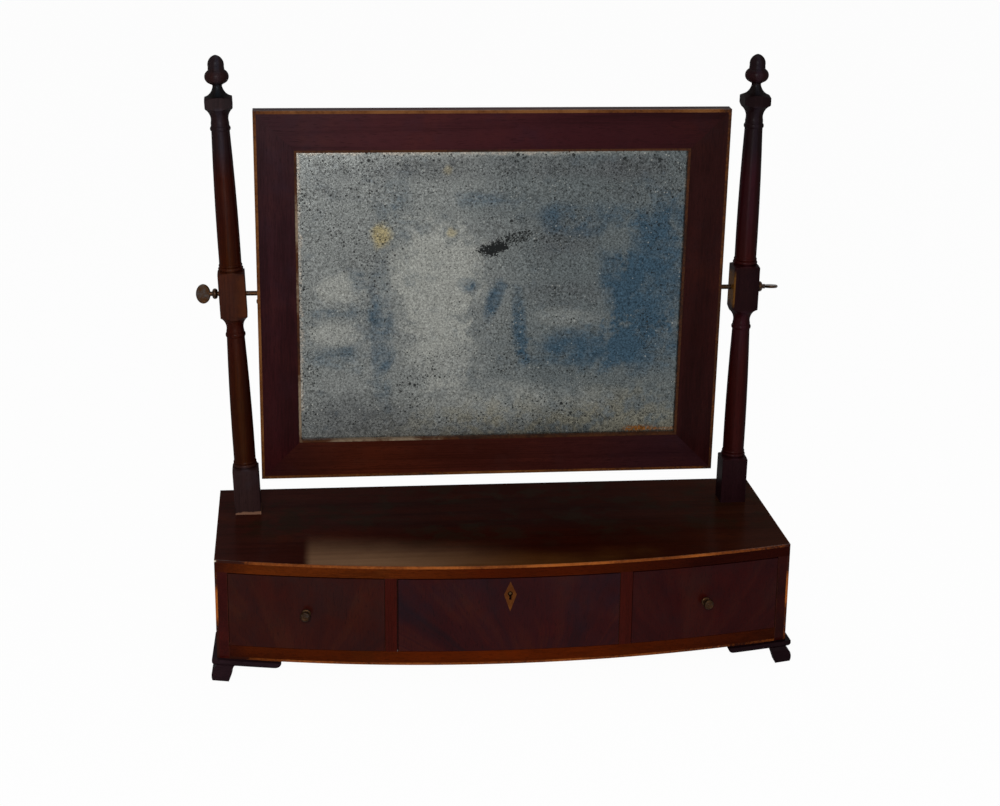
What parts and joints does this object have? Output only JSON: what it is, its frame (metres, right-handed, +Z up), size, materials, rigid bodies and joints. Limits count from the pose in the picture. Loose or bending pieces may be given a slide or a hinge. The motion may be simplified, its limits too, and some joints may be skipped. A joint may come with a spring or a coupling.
{
  "type": "dressing table mirror with drawers",
  "caption": "Dressing mirror: a framed looking glass swings on thumb screws between turned posts, above a bow-fronted box of drawers on bracket feet.",
  "frame": {"origin": "on the table, in the middle of the box's width and of its overall depth", "axes": "+X to the right of someone facing the glass, +Y from front to back, +Z up"},
  "size_m": [0.5826, 0.234, 0.5833],
  "materials": {
    "mahogany": "worn polish",
    "figured_veneer": "worn polish",
    "stringing": "worn polish",
    "lining": "unpolished",
    "pine": "unpolished",
    "slip": "worn",
    "inlay": "worn polish",
    "mirror_glass": "foxed silvering",
    "brass": "tarnished",
    "iron": "dull"
  },
  "bodies": {
    "stand": {"top_board": "mahogany", "top_facing": "mahogany", "bottom_board": "pine", "bottom_facing": "mahogany", "front_stringing": "stringing", "left_side": "mahogany", "right_side": "mahogany", "back_board": "pine", "left_partition": "pine", "right_partition": "pine", "partition_facings": "mahogany", "drawer_stops": "pine", "left_front_foot_bracket": "mahogany", "left_front_foot_side_bracket": "mahogany", "left_rear_foot_bracket": "mahogany", "right_front_foot_bracket": "mahogany", "right_front_foot_side_bracket": "mahogany", "right_rear_foot_bracket": "mahogany", "foot_blocks": "pine", "left_post": "mahogany", "right_post": "mahogany", "left_finial": "mahogany", "right_finial": "mahogany"},
    "mirror": {"mirror_top_rail": "mahogany", "mirror_bottom_rail": "mahogany", "mirror_left_stile": "mahogany", "mirror_right_stile": "mahogany", "mirror_stringing": "stringing", "mirror_slip": "slip", "mirror_glass": "mirror_glass", "mirror_backboard": "pine", "backboard_brads": "iron", "left_pivot_plate": "brass", "right_pivot_plate": "brass", "pivot_plate_screws": "brass"},
    "left_drawer": {"left_drawer_front": "figured_veneer", "left_drawer_left_side": "lining", "left_drawer_right_side": "lining", "left_drawer_back": "lining", "left_drawer_bottom": "lining", "left_knob": "brass", "left_knob_nut": "brass"},
    "centre_drawer": {"centre_drawer_front": "figured_veneer", "centre_drawer_left_side": "lining", "centre_drawer_right_side": "lining", "centre_drawer_back": "lining", "centre_drawer_bottom": "lining", "keyhole_plate": "inlay", "lock_case": "brass", "lock_screws": "iron"},
    "right_drawer": {"right_drawer_front": "figured_veneer", "right_drawer_left_side": "lining", "right_drawer_right_side": "lining", "right_drawer_back": "lining", "right_drawer_bottom": "lining", "right_knob": "brass", "right_knob_nut": "brass"},
    "left_screw": {"left_thumb_screw": "brass"},
    "right_screw": {"right_thumb_screw": "brass"},
    "bolt": {"lock_bolt": "brass"}
  },
  "joints": [
    {"name": "glass_tilt", "type": "hinge", "parent": "stand", "child": "mirror", "pos_m": [-0.0033, 0.0545, 0.35], "axis": [1, 0, 0], "continuous": true},
    {"name": "left_drawer_slide", "type": "slide", "parent": "stand", "child": "left_drawer", "axis": [0, -1, 0], "range_m": [0, 0.15]},
    {"name": "centre_drawer_slide", "type": "slide", "parent": "stand", "child": "centre_drawer", "axis": [0, -1, 0], "range_m": [0, 0.15]},
    {"name": "right_drawer_slide", "type": "slide", "parent": "stand", "child": "right_drawer", "axis": [0, -1, 0], "range_m": [0, 0.15]},
    {"name": "left_screw_turn", "type": "hinge", "parent": "mirror", "child": "left_screw", "pos_m": [-0.28, 0.0545, 0.35], "axis": [1, 0, 0], "continuous": true},
    {"name": "right_screw_turn", "type": "hinge", "parent": "mirror", "child": "right_screw", "pos_m": [0.28, 0.0545, 0.35], "axis": [1, 0, 0], "continuous": true},
    {"name": "bolt_slide", "type": "slide", "parent": "centre_drawer", "child": "bolt", "axis": [0, 0, 1], "range_m": [0, 0.005]}
  ]
}
